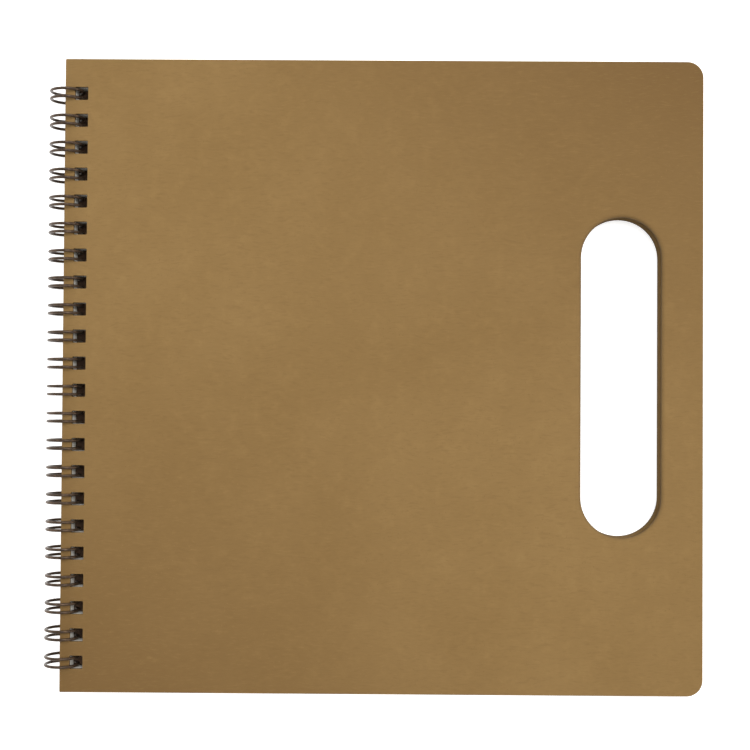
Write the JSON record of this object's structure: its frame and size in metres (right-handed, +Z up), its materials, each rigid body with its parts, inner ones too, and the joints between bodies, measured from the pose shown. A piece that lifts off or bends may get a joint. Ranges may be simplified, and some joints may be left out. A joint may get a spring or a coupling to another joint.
{
  "type": "sketchbook",
  "caption": "Square sketchbook with kraft board covers, a hand slot beside the fore edge, turning sheets and a twin-loop wire binding along the spine.",
  "frame": {"origin": "centre of the closed book's outline on the table, where the rings' underside and the back cover's fore edge touch z = 0", "axes": "+X from the spine to the fore edge, +Y towards the top edge, +Z up out of the front cover"},
  "size_m": [0.2056, 0.198, 0.0111],
  "materials": {
    "kraft_board": "matt unbleached kraft board with fine fibres and specks",
    "drawing_paper": "matt white drawing paper with a light tooth",
    "binding_wire": "dark bronze nylon-coated steel wire, satin"
  },
  "bodies": {
    "front_cover": {"front_cover": "kraft_board"},
    "sheet_01": {"sheet_01": "drawing_paper"},
    "sheet_02": {"sheet_02": "drawing_paper"},
    "sheet_03": {"sheet_03": "drawing_paper"},
    "sheet_04": {"sheet_04": "drawing_paper"},
    "sheet_05": {"sheet_05": "drawing_paper"},
    "sheet_06": {"sheet_06": "drawing_paper"},
    "sheet_07": {"sheet_07": "drawing_paper"},
    "sheet_08": {"sheet_08": "drawing_paper"},
    "sheet_09": {"sheet_09": "drawing_paper"},
    "sheet_10": {"sheet_10": "drawing_paper"},
    "sheet_11": {"sheet_11": "drawing_paper"},
    "sheet_12": {"sheet_12": "drawing_paper"},
    "sheet_13": {"sheet_13": "drawing_paper"},
    "sheet_14": {"sheet_14": "drawing_paper"},
    "sheet_15": {"sheet_15": "drawing_paper"},
    "sheet_16": {"sheet_16": "drawing_paper"},
    "sheet_17": {"sheet_17": "drawing_paper"},
    "sheet_18": {"sheet_18": "drawing_paper"},
    "sheet_19": {"sheet_19": "drawing_paper"},
    "sheet_20": {"sheet_20": "drawing_paper"},
    "back_cover": {"back_cover": "kraft_board"},
    "wire_binding": {"wire_binding": "binding_wire"}
  },
  "joints": [
    {"name": "wire_roll", "type": "hinge", "parent": "back_cover", "child": "wire_binding", "pos_m": [-0.09726, 0, 0.00555], "axis": [0, -1, 0], "range_deg": [-60, 5]},
    {"name": "sheet_20_turn", "type": "hinge", "parent": "back_cover", "child": "sheet_20", "pos_m": [-0.09726, 0, 0.00555], "axis": [0, -1, 0], "range_deg": [0, 180]},
    {"name": "sheet_19_turn", "type": "hinge", "parent": "sheet_20", "child": "sheet_19", "pos_m": [-0.09726, 0, 0.00555], "axis": [0, -1, 0], "range_deg": [0, 180]},
    {"name": "sheet_18_turn", "type": "hinge", "parent": "sheet_19", "child": "sheet_18", "pos_m": [-0.09726, 0, 0.00555], "axis": [0, -1, 0], "range_deg": [0, 180]},
    {"name": "sheet_17_turn", "type": "hinge", "parent": "sheet_18", "child": "sheet_17", "pos_m": [-0.09726, 0, 0.00555], "axis": [0, -1, 0], "range_deg": [0, 180]},
    {"name": "sheet_16_turn", "type": "hinge", "parent": "sheet_17", "child": "sheet_16", "pos_m": [-0.09726, 0, 0.00555], "axis": [0, -1, 0], "range_deg": [0, 180]},
    {"name": "sheet_15_turn", "type": "hinge", "parent": "sheet_16", "child": "sheet_15", "pos_m": [-0.09726, 0, 0.00555], "axis": [0, -1, 0], "range_deg": [0, 180]},
    {"name": "sheet_14_turn", "type": "hinge", "parent": "sheet_15", "child": "sheet_14", "pos_m": [-0.09726, 0, 0.00555], "axis": [0, -1, 0], "range_deg": [0, 180]},
    {"name": "sheet_13_turn", "type": "hinge", "parent": "sheet_14", "child": "sheet_13", "pos_m": [-0.09726, 0, 0.00555], "axis": [0, -1, 0], "range_deg": [0, 180]},
    {"name": "sheet_12_turn", "type": "hinge", "parent": "sheet_13", "child": "sheet_12", "pos_m": [-0.09726, 0, 0.00555], "axis": [0, -1, 0], "range_deg": [0, 180]},
    {"name": "sheet_11_turn", "type": "hinge", "parent": "sheet_12", "child": "sheet_11", "pos_m": [-0.09726, 0, 0.00555], "axis": [0, -1, 0], "range_deg": [0, 180]},
    {"name": "sheet_10_turn", "type": "hinge", "parent": "sheet_11", "child": "sheet_10", "pos_m": [-0.09726, 0, 0.00555], "axis": [0, -1, 0], "range_deg": [0, 180]},
    {"name": "sheet_09_turn", "type": "hinge", "parent": "sheet_10", "child": "sheet_09", "pos_m": [-0.09726, 0, 0.00555], "axis": [0, -1, 0], "range_deg": [0, 180]},
    {"name": "sheet_08_turn", "type": "hinge", "parent": "sheet_09", "child": "sheet_08", "pos_m": [-0.09726, 0, 0.00555], "axis": [0, -1, 0], "range_deg": [0, 180]},
    {"name": "sheet_07_turn", "type": "hinge", "parent": "sheet_08", "child": "sheet_07", "pos_m": [-0.09726, 0, 0.00555], "axis": [0, -1, 0], "range_deg": [0, 180]},
    {"name": "sheet_06_turn", "type": "hinge", "parent": "sheet_07", "child": "sheet_06", "pos_m": [-0.09726, 0, 0.00555], "axis": [0, -1, 0], "range_deg": [0, 180]},
    {"name": "sheet_05_turn", "type": "hinge", "parent": "sheet_06", "child": "sheet_05", "pos_m": [-0.09726, 0, 0.00555], "axis": [0, -1, 0], "range_deg": [0, 180]},
    {"name": "sheet_04_turn", "type": "hinge", "parent": "sheet_05", "child": "sheet_04", "pos_m": [-0.09726, 0, 0.00555], "axis": [0, -1, 0], "range_deg": [0, 180]},
    {"name": "sheet_03_turn", "type": "hinge", "parent": "sheet_04", "child": "sheet_03", "pos_m": [-0.09726, 0, 0.00555], "axis": [0, -1, 0], "range_deg": [0, 180]},
    {"name": "sheet_02_turn", "type": "hinge", "parent": "sheet_03", "child": "sheet_02", "pos_m": [-0.09726, 0, 0.00555], "axis": [0, -1, 0], "range_deg": [0, 180]},
    {"name": "sheet_01_turn", "type": "hinge", "parent": "sheet_02", "child": "sheet_01", "pos_m": [-0.09726, 0, 0.00555], "axis": [0, -1, 0], "range_deg": [0, 180]},
    {"name": "front_cover_turn", "type": "hinge", "parent": "sheet_01", "child": "front_cover", "pos_m": [-0.09726, 0, 0.00555], "axis": [0, -1, 0], "range_deg": [0, 180]}
  ]
}
